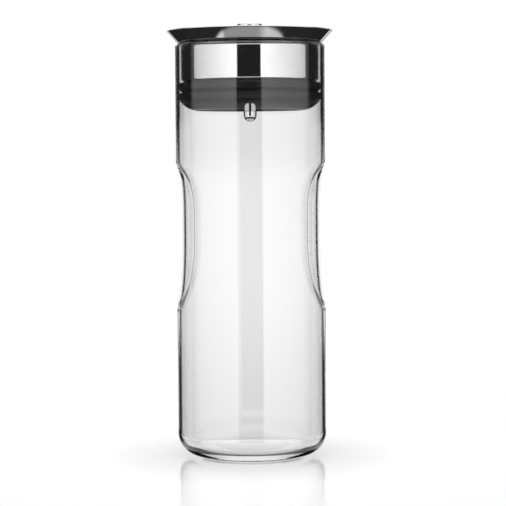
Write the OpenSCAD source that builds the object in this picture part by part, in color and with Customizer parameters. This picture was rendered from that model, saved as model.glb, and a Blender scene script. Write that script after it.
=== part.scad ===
// Water carafe: a glass bottle with two grip hollows, closed by a steel pouring collar on a
// silicone-sealed core. A domed steel lid with a hanging weight rests in the collar, tips open
// when the carafe is tilted and falls shut when it stands upright.
// Millimetres, +Z up, origin at the centre of the base. The grip hollows face +X and -X, and
// the lid opens towards +X.

/* [Glass] */
// Outer radius of the glass body
body_r = 49.8; // [44:0.1:56]
// Thickness of the glass wall
wall = 2.8; // [2:0.1:3.5]
// Height of the glass from the table to the top of its lip
glass_h = 273.5; // [255:0.5:300]
// Height of the inside floor above the table
floor_h = 4; // [3:0.1:6]
// Radius of the rounded outer corner at the base
base_corner = 15; // [10:0.5:20]
// Depth of the hollow under the base
push_up = 1.4; // [0.5:0.1:2.5]

/* [Grip hollows] */
// Greatest depth of each grip hollow
grip_depth = 3.5; // [2:0.1:5]
// Height of the upper end of the hollows
grip_top = 194.5; // [180:0.5:205]
// Height of the deepest place of the hollows
grip_deepest = 153; // [140:0.5:165]
// Height of the lower end of the hollows
grip_bottom = 98.5; // [85:0.5:110]
// How far past the centre line the axis of a hollow's wider curve lies
grip_axis = 17.4; // [15:0.1:30]

/* [Collar] */
// Outer radius of the steel sleeve inside the neck
sleeve_r = 45.7; // [41:0.1:51]
// Thickness of the steel sheet
sheet = 0.8; // [0.5:0.1:1]
// Height of the lower edge of the sleeve
sleeve_low = 248.9; // [235:0.1:255]
// Outer radius of the flared pouring rim
rim_r = 55.2; // [52:0.1:60]
// Angle of the flare from the vertical
flare_angle = 42.3; // [35:0.1:45]

/* [Seal and core] */
// Height of the underside of the silicone seal
seal_low = 229.6; // [222:0.1:236]
// Radial gap between the seal lips and the glass
lip_gap = 0.25; // [0.1:0.05:0.3]
// Radius of the water passage through the core
bore_r = 37.5; // [33:0.5:39]
// Radius of the hole in the guide spider
guide_r = 8.5; // [8:0.1:10]

/* [Lid] */
// Outer radius of the lid
lid_r = 41.2; // [40:0.1:43]
// Height of the top of the steel dome
dome_top = 281; // [278:0.1:283]
// Radius of the knob
knob_r = 8.4; // [6:0.1:11]
// Height of the top of the knob
knob_top = 287.1; // [284:0.1:290]
// Radius of the hanging weight
weight_r = 4.37; // [3.5:0.01:6]
// Height of the lowest point of the hanging weight
weight_low = 222.2; // [215:0.1:228]

/* [Hidden] */
$fn = 96;

inner_r = body_r - wall;
inner_corner = base_corner - wall;
foot_r = body_r - base_corner;              // outer edge of the flat ring that it stands on
foot_in = foot_r - 9;                       // inner edge of that ring
lip_round = wall / 2;                       // the lip is a full round
grip_top_power = 4;                         // how bluntly the hollow ends at its upper end
grip_bottom_power = 3;                      // and at its lower end
grip_steps = 14;
grip_over = 1.04;                           // the cut runs this far past both ends

sleeve_in = sleeve_r - sheet;
flare_round = 2;                            // outer radius of the bend from sleeve to flare
hem_round = 1.6;                            // outer radius of the inward hem below the sleeve
lip_touch = [                               // where the flare would meet the glass lip
    inner_r + lip_round - lip_round * cos(flare_angle),
    glass_h - lip_round + lip_round * sin(flare_angle)
];
seat_gap = 0.2;                             // the flare stays this far off the lip
flare_low = lip_touch[1] + seat_gap / sin(flare_angle)
    - (lip_touch[0] - sleeve_r) / tan(flare_angle);

core_r = sleeve_in - 0.1;
core_neck_r = 41;                           // the core inside the seal
core_hem_r = sleeve_r - hem_round - 0.2;    // the core inside the hem
core_low = seal_low + 4.8;
core_top = 268;                             // the land that the lid rests on
core_step = sleeve_low + hem_round + 0.2;   // the core widens here, above the hem
guide_low = 252;
guide_t = 3;
guide_w = 2.5;                              // width of the guide's ring and arms
guide_arms = 3;

seal_r = inner_r - lip_gap;
seal_top = sleeve_low - 0.15;
seal_in = core_neck_r + 0.05;
seal_bore = 36;                             // opening in the underside
seal_neck_r = 44.6;
lip_low = [247.8, 241.0];                   // top faces of the two sealing lips
lip_band = [4.1, 3.7];                      // height of each lip's outer face
lip_root_r = 44.9;                          // bottom of the groove between the lips
bowl_round = 15.2;                          // radius of the rounded lower corner
bowl_centre_r = 34;
notch_r = 3.7;                              // the two drain grooves in the underside
notch_z = seal_low + 0.7;

lid_gap = 0.25;
gasket_low = core_top + lid_gap;
gasket_t = 1.4;
gasket_in = 37.6;
cap_low = gasket_low + gasket_t + 0.1;
cap_skirt = 1.4;                            // straight height of the dome's edge
cap_round = 1.5;                            // rounded shoulder of the dome
cap_shoulder = cap_low + cap_skirt;
dome_rise = dome_top - cap_shoulder;
dome_r = (pow(lid_r, 2) + pow(dome_rise, 2)) / (2 * dome_rise);
plug_r = bore_r - 1;
plug_low = core_top - 2.5;
hub_r = 7;
hub_low = 258;
rod_r = 2.5;
rod_fit = 0.05;
rod_top = 269.5;
rod_low = weight_low + 5;
stud_r = 2.5;
washer_r = 9;
washer_t = 2.2;
washer_low = 236.2;
weight_top = 236;

// Points along an arc about [x, z], from angle a0 to a1.
function arc(x, z, r, a0, a1, n = 8) =
    [for (i = [0:n]) let (a = a0 + (a1 - a0) * i / n) [x + r * cos(a), z + r * sin(a)]];

// How deep a grip hollow is at height z: nought at its ends, and below nought past them.
function grip_depth_at(z) = z > grip_deepest
    ? grip_depth * (1 - pow((z - grip_deepest) / (grip_top - grip_deepest), grip_top_power))
    : grip_depth * (1 - pow((grip_deepest - z) / (grip_deepest - grip_bottom), grip_bottom_power));

// Height number i of the hollow's outline.
function grip_z(i) = grip_deepest + grip_over
    * (i < 0 ? grip_deepest - grip_bottom : grip_top - grip_deepest) * i / (grip_steps / 2);

// Height of the dome's surface at radius r, for a sphere reduced by inset.
function dome_at(r, inset) = dome_top - dome_r + sqrt(pow(dome_r - inset, 2) - pow(r, 2));

// The barrel that shapes one side of a body of radius body_r - inset. Its axis lies on the far
// side of the centre line, and its waist makes the grip hollow facing +X.
module grip_barrel(inset) {
    wide = body_r - inset + grip_axis;
    translate([-grip_axis, 0, 0]) rotate_extrude() polygon(concat(
        [[0, -5], [wide + 2, -5], [wide + 2, grip_z(-grip_steps / 2)]],
        [for (i = [-grip_steps / 2 : grip_steps / 2])
            [wide - grip_depth_at(grip_z(i)), grip_z(i)]],
        [[wide + 2, grip_z(grip_steps / 2)], [wide + 2, glass_h + 5], [0, glass_h + 5]]
    ));
}

// Carves both grip hollows out of its child.
module with_grips(inset) {
    intersection() {
        children();
        grip_barrel(inset);
        rotate([0, 0, 180]) grip_barrel(inset);
    }
}

module glass_body() {
    outside = concat(
        [[0, push_up], [foot_in / 2, push_up * 0.75], [foot_in, 0]],
        arc(foot_r, base_corner, base_corner, -90, 0, 14),
        arc(body_r - lip_round, glass_h - lip_round, lip_round, 0, 90, 6),
        [[0, glass_h]]
    );
    cavity = concat(
        [[0, floor_h]],
        arc(inner_r - inner_corner, floor_h + inner_corner, inner_corner, -90, 0, 14),
        arc(inner_r + lip_round, glass_h - lip_round, lip_round, 180, 90, 6),
        [[inner_r + lip_round, glass_h + 1], [0, glass_h + 1]]
    );
    color("lightcyan", 0.4) difference() {
        with_grips(0) rotate_extrude() polygon(outside);
        with_grips(wall) rotate_extrude() polygon(cavity);
    }
}

// The sheet's profile is the same path twice: its outer face, then its inner face offset by the
// sheet's thickness.
function collar_path(t) = let (
    hem = [sleeve_r - hem_round, sleeve_low + hem_round],
    bend = [sleeve_r + flare_round, flare_low - flare_round * tan(flare_angle / 2)],
    tip_z = flare_low + (rim_r - sleeve_r) / tan(flare_angle)
) concat(
    arc(hem[0], hem[1], hem_round - t, -90, 0, 6),
    arc(bend[0], bend[1], flare_round + t, 180, 180 - flare_angle, 10),
    [[rim_r - t * cos(flare_angle), tip_z + t * sin(flare_angle)]]
);

function reversed(list) = [for (i = [len(list) - 1 : -1 : 0]) list[i]];

module pouring_collar() {
    color("silver") rotate_extrude() polygon(concat(collar_path(0), reversed(collar_path(sheet))));
}

module closure_core() {
    shell = [
        [bore_r, core_low], [core_neck_r, core_low], [core_neck_r, seal_top],
        [core_hem_r, seal_top], [core_hem_r, core_step], [core_r, core_step],
        [core_r, core_top - 0.6], [core_r - 0.6, core_top], [bore_r, core_top]
    ];
    guide_out = guide_r + guide_w;
    color("dimgray") union() {
        rotate_extrude() polygon(shell);
        rotate_extrude() translate([guide_r, guide_low]) square([guide_w, guide_t]);
        for (i = [0 : guide_arms - 1]) rotate([0, 0, 60 + i * 360 / guide_arms])
            translate([guide_out - 1, -guide_w / 2, guide_low])
                cube([bore_r - guide_out + 2, guide_w, guide_t]);
    }
}

module seal_ring() {
    bowl_z = seal_low + bowl_round;
    bowl_end = -acos((seal_r - bowl_centre_r) / bowl_round);
    profile = concat(
        [[seal_in, seal_top], [seal_in, core_low - 0.05], [seal_bore, core_low - 0.05]],
        [[seal_bore, seal_low + 0.5], [seal_bore + 0.5, seal_low]],
        arc(bowl_centre_r, bowl_z, bowl_round, -78, bowl_end, 10),
        [[seal_r, lip_low[1]], [lip_root_r, lip_low[1] + 0.1]],
        [[seal_r, lip_low[0] - lip_band[0]], [seal_r, lip_low[0]]],
        [[seal_neck_r, lip_low[0]], [seal_neck_r, seal_top - 0.3], [seal_neck_r - 0.3, seal_top]]
    );
    color("black") difference() {
        rotate_extrude() polygon(profile);
        for (side = [-1, 1]) translate([0, side * body_r / 2, notch_z])
            rotate([side * -90, 0, 0]) cylinder(r = notch_r, h = body_r / 2);
    }
}

// The dome's profile, for its outer face or, with an inset, its inner face.
function cap_path(inset) = let (
    r = lid_r - inset,
    round_r = cap_round - inset,
    shoulder = lid_r - cap_round,
    shoulder_z = dome_at(shoulder, cap_round)
) concat(
    [[r, cap_low]],
    arc(shoulder, shoulder_z, round_r, 0, 90 - asin(shoulder / (dome_r - cap_round)), 6),
    [for (i = [1 : 14]) let (x = shoulder * (1 - i / 14)) [x, dome_at(x, inset)]]
);

module lid_cap() {
    color("silver") difference() {
        rotate_extrude() polygon(concat(cap_path(0), reversed(cap_path(sheet))));
        translate([0, 0, dome_top - 5]) cylinder(r = stud_r + rod_fit, h = 10);
    }
}

module lid_knob() {
    waist = 6.4;
    foot = [for (i = [0 : 4]) let (x = waist * i / 4) [x, dome_at(x, 0) + 0.02]];
    color("silver") union() {
        rotate_extrude() polygon(concat(
            foot,
            arc(waist + 2.4, dome_top + 2.3, 2.4, 205, 150, 6),
            arc(knob_r - 0.9, knob_top - 0.9, 0.9, 0, 90, 6),
            [[0, knob_top - 0.25]]
        ));
        translate([0, 0, rod_top + 0.5]) cylinder(r = stud_r, h = dome_top - rod_top);
    }
}

module lid_base() {
    rim = lid_r - sheet - 0.2;
    rim_top = cap_low + 0.25;
    fill = [for (i = [0 : 10]) let (x = (rim - 1.2) * (1 - i / 10)) [x, dome_at(x, sheet + 0.15)]];
    color("dimgray") difference() {
        rotate_extrude() polygon(concat(
            [[0, hub_low], [hub_r - 0.6, hub_low], [hub_r, hub_low + 0.6], [hub_r, plug_low]],
            [[plug_r - 0.8, plug_low], [plug_r, plug_low + 0.8], [plug_r, gasket_low + gasket_t + 0.05]],
            [[rim, gasket_low + gasket_t + 0.05], [rim, rim_top]],
            fill
        ));
        rotate_extrude() polygon([
            [hub_r + 5, plug_low - 1], [plug_r - 3, plug_low - 1],
            [plug_r - 3, plug_low + 3], [hub_r + 5, plug_low + 4.5]
        ]);
        translate([0, 0, hub_low - 1]) cylinder(r = rod_r + rod_fit, h = dome_top - hub_low + 2);
    }
}

module lid_gasket() {
    color("black") rotate_extrude() polygon([
        [gasket_in, gasket_low], [lid_r - 0.5, gasket_low], [lid_r, gasket_low + 0.5],
        [lid_r, gasket_low + gasket_t], [gasket_in - 1, gasket_low + gasket_t],
        [gasket_in - 1, gasket_low + 0.6]
    ]);
}

module pendulum_rod() {
    color("silver") translate([0, 0, rod_low + 0.1]) cylinder(r = rod_r, h = rod_top - rod_low - 0.1);
}

module stop_washer() {
    color("black") rotate_extrude() polygon([
        [rod_r + rod_fit, washer_low], [washer_r - 0.5, washer_low], [washer_r, washer_low + 0.5],
        [washer_r, washer_low + washer_t - 0.5], [washer_r - 0.5, washer_low + washer_t],
        [rod_r + rod_fit, washer_low + washer_t]
    ]);
}

module pendulum_weight() {
    color("silver") difference() {
        rotate_extrude() polygon(concat(
            [[0, weight_low]],
            arc(0, weight_low + weight_r, weight_r, -80, 0, 10),
            [[weight_r, weight_top - 0.6], [weight_r - 0.6, weight_top], [0, weight_top]]
        ));
        translate([0, 0, rod_low]) cylinder(r = rod_r + rod_fit, h = weight_top);
    }
}

glass_body();
pouring_collar();
closure_core();
seal_ring();
lid_cap();
lid_knob();
lid_base();
lid_gasket();
pendulum_rod();
stop_washer();
pendulum_weight();
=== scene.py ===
"""A glass water carafe with two grip hollows, a polished steel pouring collar on a black
stopper, and a domed lid that its hanging weight closes. Lengths in the shape functions are in
millimetres, in the frame of the CAD model: +Z up, origin at the centre of the base."""
import math
import bmesh
import bpy
from mathutils import Matrix, Vector


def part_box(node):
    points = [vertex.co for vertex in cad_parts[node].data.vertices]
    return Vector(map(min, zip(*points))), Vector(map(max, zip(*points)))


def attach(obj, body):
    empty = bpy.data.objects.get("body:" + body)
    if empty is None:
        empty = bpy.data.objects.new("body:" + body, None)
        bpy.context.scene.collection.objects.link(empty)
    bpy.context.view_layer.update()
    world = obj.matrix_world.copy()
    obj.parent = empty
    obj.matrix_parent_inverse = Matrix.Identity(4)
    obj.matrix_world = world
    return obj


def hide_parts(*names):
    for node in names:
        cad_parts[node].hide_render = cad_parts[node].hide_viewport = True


MM = 0.001
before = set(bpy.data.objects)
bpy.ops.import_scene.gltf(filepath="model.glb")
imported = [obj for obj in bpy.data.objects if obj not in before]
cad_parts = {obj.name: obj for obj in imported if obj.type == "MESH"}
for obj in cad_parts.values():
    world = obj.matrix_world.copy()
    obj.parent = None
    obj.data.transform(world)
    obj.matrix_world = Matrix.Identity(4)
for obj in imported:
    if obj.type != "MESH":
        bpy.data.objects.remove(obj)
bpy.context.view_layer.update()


def node_box(name):
    """Lowest and highest corner of a CAD node, in millimetres."""
    low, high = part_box(name)
    return low / MM, high / MM


# ---------------------------------------------------------------- sizes, in millimetres
_, GLASS_HIGH = node_box("glass_body")
BODY_R = GLASS_HIGH.y
GLASS_H = GLASS_HIGH.z
WALL = 2.8
FLOOR_H = 4.0                   # top of the glass floor
BASE_CORNER = 15.0              # outer rounding at the base
PUSH_UP = 1.4                   # hollow under the base
FOOT_W = 9.0                    # width of the flat ring that the glass stands on
INNER_R = BODY_R - WALL

GRIP_DEPTH = 3.5
GRIP_TOP, GRIP_DEEPEST, GRIP_BOTTOM = 194.5, 153.0, 98.5
GRIP_TOP_POWER, GRIP_BOTTOM_POWER = 4, 3
GRIP_AXIS = 17.4                # how far past the centre line a hollow's barrel has its axis
CREASE_OUT, CREASE_IN = 0.12, 0.8   # how far the crease round a hollow is blended
FOLD_W = 0.4                    # half width of the painted dark line along the crease

COLLAR_LOW, COLLAR_HIGH = node_box("pouring_collar")
SHEET = 0.8
SLEEVE_R = 45.7
RIM_R = COLLAR_HIGH.y
SLEEVE_LOW = COLLAR_LOW.z
FLARE_ANGLE = 42.3
FLARE_ROUND = 2.0
HEM_ROUND = 1.6

CORE_LOW, CORE_HIGH = node_box("closure_core")
CORE_R = SLEEVE_R - SHEET - 0.1
BORE_R = 37.5
CORE_NECK_R = 41.0
GUIDE_R, GUIDE_W, GUIDE_LOW, GUIDE_T = 8.5, 2.5, 252.0, 3.0

SEAL_LOW, SEAL_HIGH = node_box("seal_ring")
SEAL_GAP = 0.04                 # what is left between the lips and the glass
SEAL_R = INNER_R - SEAL_GAP
NOTCH_R, NOTCH_LOW = 44.9, 241.0    # the notch between the two lips
LIP_LOW, LIP_TOP = 243.7, 247.8     # the upper lip
SHOULDER_R = 44.6               # the seal above the lips
GROOVE_R = 3.7                  # the two drain grooves in the seal's underside
GROOVE_Z = SEAL_LOW.z + 0.7

CAP_LOW, CAP_HIGH = node_box("lid_cap")
KNOB_LOW, KNOB_HIGH = node_box("lid_knob")
BASE_LOW, _ = node_box("lid_base")
GASKET_LOW, GASKET_HIGH = node_box("lid_gasket")
ROD_LOW, ROD_HIGH = node_box("pendulum_rod")
WASHER_LOW, WASHER_HIGH = node_box("stop_washer")
WEIGHT_LOW, WEIGHT_HIGH = node_box("pendulum_weight")
LID_R = CAP_HIGH.y
DOME_TOP = CAP_HIGH.z
HOLE_R = 2.55                   # holes that the knob's stud and the rod go through


# ---------------------------------------------------------------- outlines
def arc(x, z, radius, start, end, count=10):
    """Points on an arc about (x, z), between two angles in degrees."""
    turns = [math.radians(start + (end - start) * i / count) for i in range(count + 1)]
    return [(x + radius * math.cos(t), z + radius * math.sin(t)) for t in turns]


def rounded(corners, closed=False, hold=0.12, count=6):
    """A path through corners (x, z, radius), each turned into an arc of that radius. Two more
    points hold the straight stretches straight under smooth shading."""
    path = []
    last = len(corners) - 1
    for i, (x, z, radius) in enumerate(corners):
        if not radius or (not closed and i in (0, last)):
            path.append((x, z))
            continue
        here = Vector((x, z))
        back = (Vector(corners[i - 1][:2]) - here)
        ahead = (Vector(corners[(i + 1) % len(corners)][:2]) - here)
        room = 0.49 * min(back.length, ahead.length)
        back.normalize()
        ahead.normalize()
        half = back.angle(ahead) / 2
        cut = min(radius / math.tan(half), room)
        radius = cut * math.tan(half)
        middle = here + (back + ahead).normalized() * radius / math.sin(half)
        first, turn = here + back * cut - middle, math.pi - 2 * half
        side = 1 if first.x * (ahead.y - back.y) - first.y * (ahead.x - back.x) > 0 else -1
        path.append(tuple(here + back * min(cut + hold, room + hold / 4)))
        for step in range(count + 1):
            swing = Matrix.Rotation(side * turn * step / count, 2)
            path.append(tuple(middle + swing @ first))
        path.append(tuple(here + ahead * min(cut + hold, room + hold / 4)))
    return path


def even_angles(count):
    return [math.tau * i / count for i in range(count)]


# ---------------------------------------------------------------- meshes
def skin(name, rings, closed=False):
    """A mesh over a stack of rings in millimetres. A ring of one point is a pole."""
    points, starts, faces = [], [], []
    for ring in rings:
        starts.append(len(points))
        points.extend(ring)
    pairs = list(zip(range(len(rings) - 1), range(1, len(rings))))
    if closed:
        pairs.append((len(rings) - 1, 0))
    for a, b in pairs:
        size_a, size_b = len(rings[a]), len(rings[b])
        for i in range(max(size_a, size_b)):
            j = i + 1
            quad = (
                starts[a] + i % size_a, starts[a] + j % size_a,
                starts[b] + j % size_b, starts[b] + i % size_b,
            )
            faces.append(tuple(dict.fromkeys(quad)))
    mesh = bpy.data.meshes.new(name)
    mesh.from_pydata([Vector(p) * MM for p in points], [], faces)
    work = bmesh.new()
    work.from_mesh(mesh)
    bmesh.ops.recalc_face_normals(work, faces=work.faces)
    work.to_mesh(mesh)
    work.free()
    mesh.polygons.foreach_set("use_smooth", [True] * len(mesh.polygons))
    piece = bpy.data.objects.new(name, mesh)
    bpy.context.scene.collection.objects.link(piece)
    return piece


def turned_rings(path, angles):
    """The rings of a path (radius, z) turned about the Z axis."""
    return [
        [(0, 0, z)] if r < 1e-6 else [(r * math.cos(a), r * math.sin(a), z) for a in angles]
        for r, z in path
    ]


def turned(name, path, closed=False, angles=None):
    return skin(name, turned_rings(path, angles or even_angles(224)), closed)


def joined(name, pieces):
    """One object with the meshes of several."""
    work = bmesh.new()
    for piece in pieces:
        work.from_mesh(piece.data)
        bpy.data.objects.remove(piece)
    mesh = bpy.data.meshes.new(name)
    work.to_mesh(mesh)
    work.free()
    whole = bpy.data.objects.new(name, mesh)
    bpy.context.scene.collection.objects.link(whole)
    return whole


# ---------------------------------------------------------------- glass
def grip_depth(z):
    """Depth of a grip hollow at height z, below nought past its ends."""
    if z > GRIP_DEEPEST:
        share = (z - GRIP_DEEPEST) / (GRIP_TOP - GRIP_DEEPEST)
        return GRIP_DEPTH * (1 - share ** GRIP_TOP_POWER)
    share = (GRIP_DEEPEST - z) / (GRIP_DEEPEST - GRIP_BOTTOM)
    return GRIP_DEPTH * (1 - share ** GRIP_BOTTOM_POWER)


def crease_angle(z, radius):
    """Angle from the X axis at which a hollow meets the round wall. It never closes to nought,
    so that the mesh has no pole where a hollow ends."""
    narrowest, sharpness = math.radians(14), 14
    barrel = radius + GRIP_AXIS - max(grip_depth(z), 0)
    cosine = (barrel ** 2 - radius ** 2 - GRIP_AXIS ** 2) / (2 * radius * GRIP_AXIS)
    angle = math.acos(min(1, cosine))
    past = angle - narrowest
    return narrowest + past * (1 + math.tanh(past * sharpness)) / 2


def glass_ring(radius, z, inset, blend):
    """One ring of the wall: the round wall or, where it is deeper, the barrel of a hollow."""
    quarter = math.pi / 2
    wide = BODY_R - inset + GRIP_AXIS
    line = crease_angle(z, BODY_R - inset)
    steps, power = 36, 1.4
    inside = [line * (1 - (1 - i / steps) ** power) for i in range(steps)]
    outside = [line + (quarter - line) * (i / steps) ** power for i in range(steps)]
    ring = []
    for side in range(4):
        angles = inside + outside
        if side % 2:
            angles = [quarter - a for a in reversed(angles[1:] + [quarter])]
        for a in angles:
            turn = a + side * quarter
            along = GRIP_AXIS * abs(math.cos(turn))
            across = GRIP_AXIS * math.sin(turn)
            barrel = math.sqrt((wide - grip_depth(z)) ** 2 - across ** 2) - along
            mix = min(1, max(0, 0.5 + 0.5 * (barrel - radius) / blend))
            r = barrel + (radius - barrel) * mix - blend * mix * (1 - mix)
            ring.append((r * math.cos(turn), r * math.sin(turn), z))
    return ring


def fold_at(point):
    """How close a point of the outer face is to the fold round a hollow: one on the fold. It masks the
    painted dark line there.
    """
    depth, full_depth, outermost = grip_depth(point.z), 0.3, BODY_R - 0.6
    if depth < 0 or math.hypot(point.x, point.y) < outermost:
        return 0.0
    off = (math.atan2(abs(point.y), abs(point.x)) - crease_angle(point.z, BODY_R)) * BODY_R
    return math.exp(-(off / FOLD_W) ** 2) * min(1, depth / full_depth)


def grip_heights():
    """Heights of the rings through the hollows, closer near both ends."""
    low, high = GRIP_BOTTOM - 2, GRIP_TOP + 2
    count, crowding = 120, 0.055
    shares = [i / count - crowding * math.sin(math.tau * i / count) for i in range(count + 1)]
    return [low + (high - low) * share for share in shares]


def glass():
    foot = BODY_R - BASE_CORNER
    heel = BASE_CORNER - WALL
    lip = WALL / 2
    plain_low, plain_high = 50, 230     # rings that hold the plain wall straight
    rings = []

    def add(path, inset, blend):
        for r, z in path:
            hollow = GRIP_BOTTOM - 3 < z < GRIP_TOP + 3
            if hollow or r > 1e-6:
                rings.append(glass_ring(r, z, inset, blend))
            else:
                rings.append([(0, 0, z)])

    under = rounded([(0, PUSH_UP, 0), (foot - FOOT_W, 0, 30), (foot - 0.5, 0, 0)], count=10)
    wall_out = [(BODY_R, BASE_CORNER + 0.3), (BODY_R, plain_low)]
    wall_out += [(BODY_R, z) for z in grip_heights()]
    wall_out += [(BODY_R, plain_high), (BODY_R, GLASS_H - lip - 0.3)]
    outside = under + arc(foot, BASE_CORNER, BASE_CORNER, -90, 0, 28)[1:] + wall_out
    outside += arc(BODY_R - lip, GLASS_H - lip, lip, 0, 90, 8)
    wall_in = [(INNER_R, GLASS_H - lip - 0.3), (INNER_R, plain_high)]
    wall_in += [(INNER_R, z) for z in reversed(grip_heights())]
    wall_in += [(INNER_R, plain_low), (INNER_R, FLOOR_H + heel + 0.3)]
    inside = arc(INNER_R + lip, GLASS_H - lip, lip, 90, 180, 8)[1:] + wall_in
    inside += arc(INNER_R - heel, FLOOR_H + heel, heel, 0, -90, 24)
    inside += [(INNER_R - heel - 1, FLOOR_H), (12, FLOOR_H), (0, FLOOR_H)]
    add(outside, 0, CREASE_OUT)
    add(inside, WALL, CREASE_IN)
    bottle = skin("glass_bottle", rings)
    fold = bottle.data.attributes.new("fold", "FLOAT", "POINT")
    for vertex in bottle.data.vertices:
        fold.data[vertex.index].value = fold_at(vertex.co / MM)
    return bottle


# ---------------------------------------------------------------- closure
def collar_path(inset):
    """One face of the steel sheet, from the hem under the sleeve to the pouring rim."""
    lip = WALL / 2
    slope = math.radians(FLARE_ANGLE)
    touch_r = INNER_R + lip * (1 - math.cos(slope))
    touch_z = GLASS_H - lip * (1 - math.sin(slope))
    flare_low = touch_z + 0.2 / math.sin(slope) - (touch_r - SLEEVE_R) / math.tan(slope)
    bend_z = flare_low - FLARE_ROUND * math.tan(slope / 2)
    rim_r = RIM_R - 0.1
    tip_z = flare_low + (rim_r - SLEEVE_R) / math.tan(slope)
    hem = arc(SLEEVE_R - HEM_ROUND, SLEEVE_LOW + HEM_ROUND, HEM_ROUND - inset, -90, 0, 10)
    bend = arc(SLEEVE_R + FLARE_ROUND, bend_z, FLARE_ROUND + inset, 180, 180 - FLARE_ANGLE, 16)
    tip = (rim_r - inset * math.cos(slope), tip_z + inset * math.sin(slope))
    back = Vector((math.sin(slope), math.cos(slope)))
    sleeve = [(hem[-1][0], hem[-1][1] + 0.3), (bend[0][0], bend[0][1] - 0.3)]
    flare = [tuple(Vector(bend[-1]) + back * 0.3), tuple(Vector(tip) - back * 0.3), tip]
    return hem + sleeve + bend + flare


def collar():
    """The sheet's two faces, joined by rounded edges."""
    outer, inner = collar_path(0), collar_path(SHEET)
    slope = math.degrees(math.atan2(outer[-1][1] - outer[-2][1], outer[-1][0] - outer[-2][0]))
    tip = (Vector(outer[-1]) + Vector(inner[-1])) / 2
    hem = (Vector(outer[0]) + Vector(inner[0])) / 2
    rim_edge = arc(tip.x, tip.y, SHEET / 2, slope - 90, slope + 90, 10)[1:-1]
    hem_edge = arc(hem.x, hem.y, SHEET / 2, 90, 270, 8)[1:-1]
    return turned("steel_collar", outer + rim_edge + inner[::-1] + hem_edge, True, even_angles(288))


def box(name, low, high, bevel):
    """A box with bevelled edges, from its lowest to its highest corner."""
    work = bmesh.new()
    size = Vector(high) - Vector(low)
    place = Matrix.Translation((Vector(low) + size / 2) * MM) @ Matrix.Diagonal((*(size * MM), 1))
    bmesh.ops.create_cube(work, size=1, matrix=place)
    bmesh.ops.bevel(work, geom=list(work.edges), offset=bevel * MM, segments=3, affect="EDGES")
    mesh = bpy.data.meshes.new(name)
    work.to_mesh(mesh)
    work.free()
    piece = bpy.data.objects.new(name, mesh)
    bpy.context.scene.collection.objects.link(piece)
    return piece


def core():
    """The stopper's body: a stepped ring, and a spider of three arms that guides the rod."""
    low, high = CORE_LOW.z, CORE_HIGH.z
    step = SLEEVE_LOW + HEM_ROUND + 0.2
    hem_r = SLEEVE_R - HEM_ROUND - 0.2
    neck_top = SEAL_HIGH.z
    shell = turned("core_shell", rounded([
        (BORE_R, low, 0.4), (CORE_NECK_R, low, 0.3), (CORE_NECK_R, neck_top, 0.1),
        (hem_r, neck_top, 0.1), (hem_r, step, 0.1), (CORE_R, step, 0.2), (CORE_R, high, 0.6),
        (BORE_R, high, 0.3),
    ], True), True)
    top = GUIDE_LOW + GUIDE_T
    ring = turned("core_guide", rounded([
        (GUIDE_R, GUIDE_LOW, 0.4), (GUIDE_R + GUIDE_W, GUIDE_LOW, 0.3),
        (GUIDE_R + GUIDE_W, top, 0.3), (GUIDE_R, top, 0.4),
    ], True), True, even_angles(96))
    arms = []
    for turn in (60, 180, 300):
        arm = box("core_arm", (GUIDE_R + GUIDE_W - 1, -GUIDE_W / 2, GUIDE_LOW),
                  (BORE_R + 1, GUIDE_W / 2, top), 0.35)
        arm.data.transform(Matrix.Rotation(math.radians(turn), 4, "Z"))
        arms.append(arm)
    return joined("stopper_core", [shell, ring, *arms])


def seal():
    """The silicone seal, with a drain groove across its underside at the front and the back."""
    low, top, skirt_r = SEAL_LOW.z, SEAL_HIGH.z, 36
    bowl_r, bowl_x = 15.2, 34.0
    bowl_end = -math.degrees(math.acos((SEAL_R - bowl_x) / bowl_r))
    bowl = [(x, z, 0) for x, z in arc(bowl_x, low + bowl_r, bowl_r, -78, bowl_end, 22)]
    inner, shelf = CORE_NECK_R + 0.05, CORE_LOW.z - 0.05
    path = rounded([
        (inner, top, 0.2), (inner, shelf, 0.1), (skirt_r, shelf, 0.3), (skirt_r, low, 0.5),
        *bowl, (SEAL_R, NOTCH_LOW, 0.35), (NOTCH_R, NOTCH_LOW + 0.1, 0.4), (SEAL_R, LIP_LOW, 0.5),
        (SEAL_R, LIP_TOP, 0.6), (SHOULDER_R, LIP_TOP, 0.4), (SHOULDER_R, top, 0.3),
    ], True, count=5)
    # angles from the middle of a groove, closer together across it
    near = [math.radians(a / 4) for a in range(-48, 49)]
    far = [math.radians(12 + a * 2) for a in range(1, 78)]
    half = near + far
    angles = sorted((a - math.pi / 2 + turn) % math.tau for a in half for turn in (0, math.pi))
    rings = turned_rings(path, angles)
    for ring in rings:
        for i, (x, y, z) in enumerate(ring):
            if abs(x) < GROOVE_R and z < CORE_LOW.z - 1:
                arch = GROOVE_Z + math.sqrt(GROOVE_R ** 2 - x ** 2)
                ring[i] = (x, y, max(z, arch))
    return skin("silicone_seal", rings, True)


# ---------------------------------------------------------------- lid
CAP_SKIRT, CAP_ROUND = 1.4, 1.5
DOME_RISE = DOME_TOP - CAP_LOW.z - CAP_SKIRT
DOME_R = (LID_R ** 2 + DOME_RISE ** 2) / (2 * DOME_RISE)


def dome_at(r, inset=0.0):
    return DOME_TOP - DOME_R + math.sqrt((DOME_R - inset) ** 2 - r ** 2)


def cap_path(inset):
    shoulder = LID_R - CAP_ROUND
    end = 90 - math.degrees(math.asin(shoulder / (DOME_R - CAP_ROUND)))
    edge = arc(shoulder, dome_at(shoulder, CAP_ROUND), CAP_ROUND - inset, 0, end, 10)
    dome = [shoulder + (HOLE_R - shoulder) * i / 40 for i in range(1, 41)]
    return [(LID_R - inset, CAP_LOW.z)] + edge + [(r, dome_at(r, inset)) for r in dome]


def lid_cap():
    return turned("lid_dome", cap_path(0) + cap_path(SHEET)[::-1], True, even_angles(288))


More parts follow.
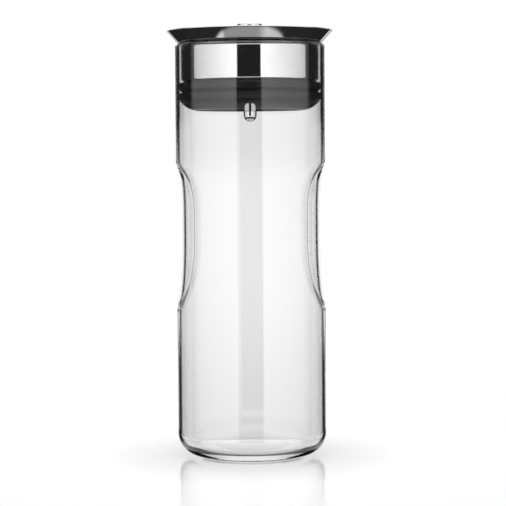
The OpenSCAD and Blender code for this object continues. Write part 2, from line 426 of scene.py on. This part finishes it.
def lid_knob():
    """A low turned knob with a waist, a dished top and the stud that holds it."""
    knob_r, top, waist, stud = KNOB_HIGH.y, KNOB_HIGH.z, 6.4, 2.5
    waist_z, collar_z = DOME_TOP + 1.7, DOME_TOP + 3.55
    dish_r, dish_depth = 6.2, 0.35
    foot = [stud + (waist - stud) * i / 6 for i in range(7)]
    sit = [(r, dome_at(r) + 0.02, 0) for r in foot]
    stud_part = [(0, KNOB_LOW.z, 0), (stud, KNOB_LOW.z, 0.4)]
    steps = (dish_r, 5.2, 4.0, 2.6, 1.2, 0)
    dish = [(r, top - dish_depth * (1 - (r / dish_r) ** 2), 0) for r in steps]
    return turned("lid_knob_turned", rounded([
        *stud_part, *sit[:-1], (waist, sit[-1][1], 0.25), (waist - 0.55, waist_z, 1.6),
        (knob_r, collar_z, 0.55), (knob_r, top, 0.9), *dish,
    ], count=7), angles=even_angles(160))


def lid_base():
    """The lid's moulded body: a plug with a recess under it, and a hub for the rod."""
    low, hub, plug = BASE_LOW.z, 7.0, BORE_R - 1
    plug_low, seat = CORE_HIGH.z - 2.5, GASKET_HIGH.z + 0.05
    rim = LID_R - SHEET - 0.2
    top = [(rim - 1.2) * (1 - i / 24) for i in range(24)]
    under_cap = [(r, dome_at(r, SHEET + 0.15), 0) for r in top if r > HOLE_R]
    boss, wall, recess = hub + 5, plug - 3, 4.5
    return turned("lid_moulding", rounded([
        (HOLE_R, low, 0.3), (hub, low, 0.6), (hub, plug_low, 0.8), (boss, plug_low, 0.4),
        (boss, plug_low + recess, 0.8), (wall, plug_low + 3, 0.8), (wall, plug_low, 0.4),
        (plug, plug_low, 0.8), (plug, seat, 0.1), (rim, seat, 0.1), (rim, CAP_LOW.z + 0.25, 0),
        *under_cap, (HOLE_R, DOME_TOP - SHEET - 0.15, 0),
    ], True), True)


def lid_gasket():
    low, high, inner = GASKET_LOW.z, GASKET_HIGH.z, 36.6
    return turned("lid_gasket_ring", rounded([
        (inner + 1, low, 0.3), (LID_R, low, 0.5), (LID_R, high, 0.2), (inner, high, 0.1),
        (inner, low + 0.6, 0.3),
    ], True), True)


def rod():
    r = ROD_HIGH.y
    return turned("hanging_rod", rounded([
        (0, ROD_LOW.z, 0), (r, ROD_LOW.z, 0.4), (r, ROD_HIGH.z, 0.4), (0, ROD_HIGH.z, 0),
    ]), angles=even_angles(96))


def washer():
    low, high, outer = WASHER_LOW.z, WASHER_HIGH.z, WASHER_HIGH.y
    return turned("soft_washer", rounded([
        (HOLE_R, low, 0.2), (outer, low, 0.7), (outer, high, 0.7), (HOLE_R, high, 0.2),
    ], True), True, even_angles(128))


def weight():
    """A round-ended steel weight, bored for the rod."""
    r, low, high = WEIGHT_HIGH.y, WEIGHT_LOW.z, WEIGHT_HIGH.z
    bore_end = low + 5.2
    ball = arc(0, low + r, r, -90, 0, 24)
    body = [(r, low + r + 0.3), (r, high - 1)]
    top = rounded([
        (r, high - 1, 0), (r, high, 0.6), (HOLE_R, high, 0.2), (HOLE_R, bore_end, 0), (0, bore_end, 0),
    ])
    return turned("hanging_weight", ball + body + top[1:], angles=even_angles(128))


# ---------------------------------------------------------------- materials
def node(tree, kind, inputs=None, output=0, **settings):
    """Adds a node. Each input is a socket to link or a value to set. Returns one output."""
    made = tree.nodes.new(kind)
    for key, value in settings.items():
        setattr(made, key, value)
    for key, value in (inputs or {}).items():
        if isinstance(value, bpy.types.NodeSocket):
            tree.links.new(value, made.inputs[key])
        else:
            made.inputs[key].default_value = value
    return made.outputs[output]


def maths(tree, operation, a, b=0.0, clamp=False):
    return node(tree, "ShaderNodeMath", {0: a, 1: b}, operation=operation, use_clamp=clamp)


def spread(tree, value, low, high, to_low=0.0, to_high=1.0, smooth=True):
    """Goes from to_low to to_high as the value goes from low to high, and no further."""
    kind = "SMOOTHSTEP" if smooth else "LINEAR"
    return node(tree, "ShaderNodeMapRange", {
        "Value": value, "From Min": low, "From Max": high, "To Min": to_low, "To Max": to_high,
    }, interpolation_type=kind)


def mixed(tree, share, first, second):
    return node(tree, "ShaderNodeMix", {0: share, 2: first, 3: second})


def mixed_colour(tree, share, first, second):
    return node(tree, "ShaderNodeMix", {0: share, 6: first, 7: second}, output=2, data_type="RGBA")


def parts(tree, vector):
    """The x, y and z of a vector."""
    split = tree.nodes.new("ShaderNodeSeparateXYZ")
    tree.links.new(vector, split.inputs[0])
    return split.outputs


def length(tree, x, y):
    """Length of the flat vector (x, y)."""
    squares = [maths(tree, "MULTIPLY", side, side) for side in (x, y)]
    return maths(tree, "SQRT", maths(tree, "ADD", *squares))


def ray(tree, fact):
    """What the Light Path node says of a ray under that name."""
    return tree.nodes.new("ShaderNodeLightPath").outputs[fact]


def noise(tree, vector, scale, detail=3.0, roughness=0.5):
    return node(tree, "ShaderNodeTexNoise", {
        "Vector": vector, "Scale": scale, "Detail": detail, "Roughness": roughness,
    })


def stretched(tree, vector, scale):
    return node(tree, "ShaderNodeMapping", {"Vector": vector, "Scale": scale})


def bump(tree, height, strength, distance):
    return node(tree, "ShaderNodeBump", {"Height": height, "Strength": strength, "Distance": distance})


def lathe_coordinate(tree, place):
    """(distance from the axis, a little of the angle, height), in metres, for turned marks."""
    x, y, z = parts(tree, place)
    angle = maths(tree, "MULTIPLY", maths(tree, "ARCTAN2", y, x), 0.0006)
    return node(tree, "ShaderNodeCombineXYZ", {0: length(tree, x, y), 1: angle, 2: z})


def material(name, paint, **settings):
    """A material whose nodes paint(tree, shader, place) adds, round a Principled shader."""
    made = bpy.data.materials.new(name)
    made.use_nodes = True
    tree = made.node_tree
    shader = tree.nodes["Principled BSDF"]
    for key, value in settings.items():
        shader.inputs[key.replace("_", " ")].default_value = value
    paint(tree, shader, node(tree, "ShaderNodeTexCoord", output="Object"))
    return made


def paint_glass(tree, shader, place):
    """Fire-polished glass: slow waves from blowing, a trace of wiping marks, and a painted dark
    line, painted shade in the base colour, along the fold round a hollow on the outside."""
    waves = noise(tree, stretched(tree, place, (1, 1, 0.35)), 24, 1.0)
    marks = noise(tree, stretched(tree, place, (1, 1, 0.6)), 160, 4.0, 0.6)
    tree.links.new(bump(tree, waves, 0.03, 0.0004), shader.inputs["Normal"])
    tree.links.new(spread(tree, marks, 0.62, 0.85, 0.0, 0.012), shader.inputs["Roughness"])
    fold = node(tree, "ShaderNodeAttribute", output="Fac", attribute_name="fold")
    near = maths(tree, "SUBTRACT", 1.0, node(tree, "ShaderNodeNewGeometry", output="Backfacing"))
    line = maths(tree, "MULTIPLY", fold, near)
    # painted shade: the dark colour draws the fine line along the fold, on the outer face only
    painted_fold_shade = mixed_colour(tree, line, (0.988, 0.992, 0.991, 1), (0.08, 0.08, 0.08, 1))
    tree.links.new(painted_fold_shade, shader.inputs["Base Color"])


def paint_steel(tree, shader, place):
    """Mirror polish with faint turned lines, hairline scratches and uneven haze."""
    turned_place = lathe_coordinate(tree, place)
    lines = noise(tree, turned_place, 5200, 2.0, 0.7)
    haze = noise(tree, place, 55, 4.0, 0.6)
    scratches = noise(tree, stretched(tree, place, (900, 140, 260)), 1.0, 2.0, 0.4)
    rough = maths(tree, "ADD", spread(tree, haze, 0.35, 0.75, 0.02, 0.05),
                  spread(tree, scratches, 0.66, 0.8, 0.0, 0.03))
    tone = spread(tree, haze, 0.3, 0.8, 0.0, 1.0)
    colour = mixed_colour(tree, tone, (0.90, 0.90, 0.895, 1), (0.83, 0.83, 0.83, 1))
    tree.links.new(colour, shader.inputs["Base Color"])
    tree.links.new(rough, shader.inputs["Roughness"])
    tree.links.new(bump(tree, lines, 0.025, 0.00002), shader.inputs["Normal"])


def paint_weight_with_painted_highlight(tree, shader, place):
    """The same steel, with a painted highlight on its upper part, made as a glow, in place of the light
    that reaches it through the drain grooves: a stripe at either side of the dark line down its front,
    and the same at its back."""
    paint_steel(tree, shader, place)
    x, _, z = parts(tree, place)
    r, low = WEIGHT_HIGH.x * MM, SEAL_LOW.z * MM
    off = maths(tree, "ABSOLUTE", x)
    # painted highlight: glowing stripes on the upper part, where the seal shades the weight
    painted_highlight_stripes = maths(tree, "MULTIPLY", spread(tree, off, 0.12 * r, 0.24 * r),
                    spread(tree, off, 0.71 * r, 0.93 * r, 1.0, 0.0))
    inside = spread(tree, z, low - 0.6 * MM, low + 0.2 * MM, 0.0, 0.55)
    tree.links.new(maths(tree, "MULTIPLY", painted_highlight_stripes, inside), shader.inputs["Emission Strength"])


def paint_silicone(tree, shader, place):
    """Moulded silicone: a soft satin skin with faint flow bands and specks of lint."""
    skin_grain = noise(tree, place, 2600, 3.0, 0.6)
    bands = noise(tree, stretched(tree, place, (6, 6, 700)), 1.0, 2.0)
    lint = spread(tree, noise(tree, place, 900, 1.0), 0.74, 0.80)
    colour = mixed_colour(tree, lint, (0.018, 0.018, 0.0185, 1), (0.055, 0.055, 0.055, 1))
    tree.links.new(colour, shader.inputs["Base Color"])
    tree.links.new(spread(tree, bands, 0.3, 0.7, 0.28, 0.32), shader.inputs["Roughness"])
    height = maths(tree, "ADD", skin_grain, maths(tree, "MULTIPLY", bands, 0.05))
    tree.links.new(bump(tree, height, 0.10, 0.00004), shader.inputs["Normal"])


def paint_plastic(tree, shader, place):
    """Moulded nylon: a fine spark-eroded grain and slight mottling."""
    grain = node(tree, "ShaderNodeTexVoronoi", {"Vector": place, "Scale": 1900.0})
    cloud = noise(tree, place, 120, 3.0)
    colour = mixed_colour(tree, cloud, (0.010, 0.010, 0.0105, 1), (0.022, 0.022, 0.022, 1))
    tree.links.new(colour, shader.inputs["Base Color"])
    tree.links.new(spread(tree, cloud, 0.3, 0.7, 0.42, 0.55), shader.inputs["Roughness"])
    tree.links.new(bump(tree, grain, 0.35, 0.00003), shader.inputs["Normal"])


GLASS = material("clear_glass", paint_glass, Transmission_Weight=1.0, IOR=1.5)
STEEL = material("polished_steel", paint_steel, Metallic=1.0)
WEIGHT_STEEL_PAINTED_HIGHLIGHT = material("polished_steel_weight_painted_highlight", paint_weight_with_painted_highlight, Metallic=1.0, Emission_Color=(1, 1, 1, 1))
SILICONE = material("black_silicone", paint_silicone, IOR=1.43)
PLASTIC = material("black_plastic", paint_plastic, IOR=1.5)


# ---------------------------------------------------------------- pieces on their bodies
PIECES = (
    (glass, "glass_body", "carafe", "clear_glass", GLASS),
    (collar, "pouring_collar", "closure", "polished_steel", STEEL),
    (core, "closure_core", "closure", "black_plastic", PLASTIC),
    (seal, "seal_ring", "closure", "black_silicone", SILICONE),
    (lid_cap, "lid_cap", "lid", "polished_steel", STEEL),
    (lid_knob, "lid_knob", "lid", "polished_steel", STEEL),
    (lid_base, "lid_base", "lid", "black_plastic", PLASTIC),
    (lid_gasket, "lid_gasket", "lid", "black_silicone", SILICONE),
    (rod, "pendulum_rod", "lid", "polished_steel", STEEL),
    (washer, "stop_washer", "lid", "black_silicone", SILICONE),
    (weight, "pendulum_weight", "lid", "polished_steel", WEIGHT_STEEL_PAINTED_HIGHLIGHT),
)
for make, cad_node, body, slot, look in PIECES:
    piece = make()
    piece.data.materials.append(look)
    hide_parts(cad_node)
    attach(piece, body)
    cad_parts[cad_node].data.materials.clear()
    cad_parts[cad_node].data.materials.append(look)


# ---------------------------------------------------------------- floor
BACKDROP = 0.96                 # light levels, where 1 is white
BARE_BACKDROP = 1.05
BOX_LIGHT = 1.2
DARK = 0.015

# Distances on the floor, in metres from the carafe's axis
FOOT_SHADOW = (0.0395, 0.041, 0.046, 0.049)     # where it starts, is full, fades and ends
NEAR_BOARD = (0.066, 0.072)     # where the board near the foot ends
FLOOR_END = (0.3, 0.58)         # where the board fades into the backdrop
SPOT_BACK = 0.116               # the lit spot's middle, behind the carafe
SPOT_EDGE = (0.216, 0.220)      # its radius, as a soft edge


def mirrored(tree):
    """One for a ray that a mirror-like face has turned on its way here, or else nought."""
    return maths(tree, "GREATER_THAN", ray(tree, "Glossy Depth"), 0.5)


def backdrop(tree, height):
    """Brightness of the white backdrop at a height in degrees: a little past white where the
    camera sees it bare, and past glass brightest just below eye level."""
    above = spread(tree, height, -1.4, 0.2, BACKDROP, 0.9 * BACKDROP)
    below = spread(tree, height, -10.5, -3.5, 0.8 * BACKDROP, BACKDROP)
    seen = maths(tree, "MINIMUM", above, below)
    return mixed(tree, ray(tree, "Is Camera Ray"), seen, BARE_BACKDROP)


def mirrored_board(tree, x, y, away):
    """Brightness of the floor as the steel and the glass mirror it: pale near the foot, with the
    foot's own shadow, and further out a lit round spot that is brighter towards both sides."""
    sides = maths(tree, "MAXIMUM", spread(tree, x, -0.135, -0.118, 0.70, 0.30),
                  spread(tree, x, 0.03, 0.09, 0.30, 0.64))
    from_middle = length(tree, x, maths(tree, "SUBTRACT", y, SPOT_BACK))
    spot = mixed(tree, spread(tree, from_middle, *SPOT_EDGE), sides, 0.02)
    shadow = maths(tree, "MULTIPLY", spread(tree, away, *FOOT_SHADOW[:2]),
                   spread(tree, away, *FOOT_SHADOW[2:], 1.0, 0.0))
    near = maths(tree, "SUBTRACT", 0.9, maths(tree, "MULTIPLY", shadow, 0.87))
    return mixed(tree, spread(tree, away, *NEAR_BOARD), near, spot)


def paint_floor(tree, shader, place):
    """Pale satin board, with a painted shadow round the foot, that runs out into the white backdrop.
    Mirrored rays see it by mirrored_board, and rays that reach it through glass at a grazing
    angle go on to the backdrop."""
    x, y, _ = parts(tree, place)
    away = length(tree, x, y)
    mottle = spread(tree, noise(tree, place, 7, 3.0), 0.3, 0.7, 0.04, 0.06)
    rough = maths(tree, "ADD", mottle, spread(tree, away, 0.06, 0.25, 0.0, 0.2))
    # painted shadow: the glow is weaker near the foot, so the floor is darker round it
    glow_with_painted_shadow = spread(tree, away, 0.05, 0.12, 0.28, 0.47, smooth=False)
    tree.links.new(rough, shader.inputs["Roughness"])
    tree.links.new(spread(tree, away, 0.06, 0.2, 0.5, 0.12), shader.inputs["Specular IOR Level"])
    tree.links.new(glow_with_painted_shadow, shader.inputs["Emission Strength"])
    board = node(tree, "ShaderNodeEmission", {"Strength": mirrored_board(tree, x, y, away)})
    surface = node(tree, "ShaderNodeMixShader", {0: mirrored(tree), 1: shader.outputs[0], 2: board})
    grazing = spread(tree, node(tree, "ShaderNodeLayerWeight", output=1), 0.6, 0.8)
    indirect = maths(tree, "SUBTRACT", 1.0, ray(tree, "Is Camera Ray"))
    clear = maths(tree, "MAXIMUM", spread(tree, away, *FLOOR_END),
                  maths(tree, "MULTIPLY", grazing, indirect))
    open_air = node(tree, "ShaderNodeBsdfTransparent")
    faded = node(tree, "ShaderNodeMixShader", {0: clear, 1: surface, 2: open_air})
    tree.links.new(faded, tree.nodes["Material Output"].inputs["Surface"])


def floor():
    radius, count = 0.6, 96
    mesh = bpy.data.meshes.new("floor")
    edge = [(radius * math.cos(a), radius * math.sin(a), 0) for a in even_angles(count)]
    mesh.from_pydata(edge, [], [tuple(range(count))])
    ground = bpy.data.objects.new("floor", mesh)
    ground.location.z = -0.00002
    bpy.context.scene.collection.objects.link(ground)
    board = material("floor_board", paint_floor, Base_Color=(0.5, 0.5, 0.5, 1), IOR=1.4,
                     Emission_Color=(1, 1, 1, 1))
    mesh.materials.append(board)


floor()


# ---------------------------------------------------------------- light
def studio():
    """A world that stands for the studio. Mirrored rays see a softbox at either side of the
    camera, a dark gap between the two, and dark flags behind them. Other rays see the white
    backdrop and two narrow low flags."""
    world = bpy.data.worlds.new("studio")
    bpy.context.scene.world = world
    world.use_nodes = True
    tree = world.node_tree
    x, y, z = parts(tree, node(tree, "ShaderNodeTexCoord", output="Generated"))
    # azimuth from the front, -Y, towards +X, and elevation, in degrees
    front_y = maths(tree, "MULTIPLY", y, -1.0)
    azimuth = maths(tree, "MULTIPLY", maths(tree, "ARCTAN2", x, front_y), math.degrees(1))
    side = maths(tree, "ABSOLUTE", azimuth)
    height = maths(tree, "MULTIPLY", maths(tree, "ARCSINE", z), math.degrees(1))

    def band(value, low, high, soft):
        rise = spread(tree, value, low - soft, low + soft)
        return maths(tree, "MULTIPLY", rise, spread(tree, value, high - soft, high + soft, 1.0, 0.0))

    def both(a, b):
        return maths(tree, "MULTIPLY", a, b)

    def added(a, b):
        return maths(tree, "ADD", a, b)

    gap = both(band(azimuth, -20.8, 17.6, 0.8), band(height, -13.0, 14.0, 1.5))
    # the flags, and the light that is seen between, past and on them
    flags = maths(tree, "MAXIMUM",
                  both(band(side, 102.0, 170.0, 1.5), band(height, -75.0, 5.0, 1.0)),
                  both(band(side, 102.0, 152.0, 1.5), band(height, 4.0, 40.0, 1.0)))
    window = both(band(side, 156.0, 180.0, 1.0), band(height, -4.8, -0.7, 0.4))
    outside = maths(tree, "LESS_THAN", ray(tree, "Transmission Depth"), 0.5)
    fill = both(outside, both(band(side, 104.0, 142.0, 2.0), band(height, -14.0, 0.8, 0.3)))
    ends = added(band(azimuth, 157.5, 182.0, 1.0), band(azimuth, -182.0, -161.0, 1.0))
    past_rim = both(outside, both(ends, band(height, -40.0, -6.5, 1.0)))
    light = added(added(window, fill), both(past_rim, 0.6))
    flags = maths(tree, "SUBTRACT", flags, light, clamp=True)
    boxes = both(band(side, -1.0, 103.0, 1.0), band(height, -30.0, 60.0, 2.0))
    box_light = spread(tree, side, 25.0, 103.0, BOX_LIGHT, 0.5 * BOX_LIGHT, smooth=False)
    lit = mixed(tree, boxes, BACKDROP, box_light)
    front = mixed(tree, maths(tree, "MAXIMUM", gap, flags), lit, DARK)
    low_flags = both(band(side, 138.0, 151.0, 1.5), band(height, -12.0, 8.0, 1.0))
    straight = mixed(tree, low_flags, backdrop(tree, height), DARK)
    background = tree.nodes["Background"]
    tree.links.new(mixed(tree, mirrored(tree), straight, front), background.inputs["Strength"])
    background.inputs["Color"].default_value = (1, 1, 1, 1)


studio()


# ---------------------------------------------------------------- camera
CAMERA_DISTANCE = 1.2           # metres, from the carafe's axis
CAMERA_HEIGHT = 0.205
CAMERA_LENS = 127.9             # millimetres
CAMERA_DOWN = 3.352             # degrees
CAMERA_YAW = -0.06
CAMERA_ROLL = -0.4


def camera():
    data = bpy.data.cameras.new("camera")
    data.lens = CAMERA_LENS
    data.sensor_width = 36
    eye = bpy.data.objects.new("camera", data)
    turn = Matrix.Rotation(math.radians(CAMERA_YAW), 4, "Z")
    tilt = Matrix.Rotation(math.radians(90 - CAMERA_DOWN), 4, "X")
    roll = Matrix.Rotation(math.radians(CAMERA_ROLL), 4, "Z")
    eye.matrix_world = Matrix.Translation((0, -CAMERA_DISTANCE, CAMERA_HEIGHT)) @ turn @ tilt @ roll
    bpy.context.scene.collection.objects.link(eye)
    bpy.context.scene.camera = eye


camera()

scene = bpy.context.scene
scene.view_settings.view_transform = "Standard"
scene.cycles.max_bounces = 24
scene.cycles.transmission_bounces = 20
scene.cycles.glossy_bounces = 10
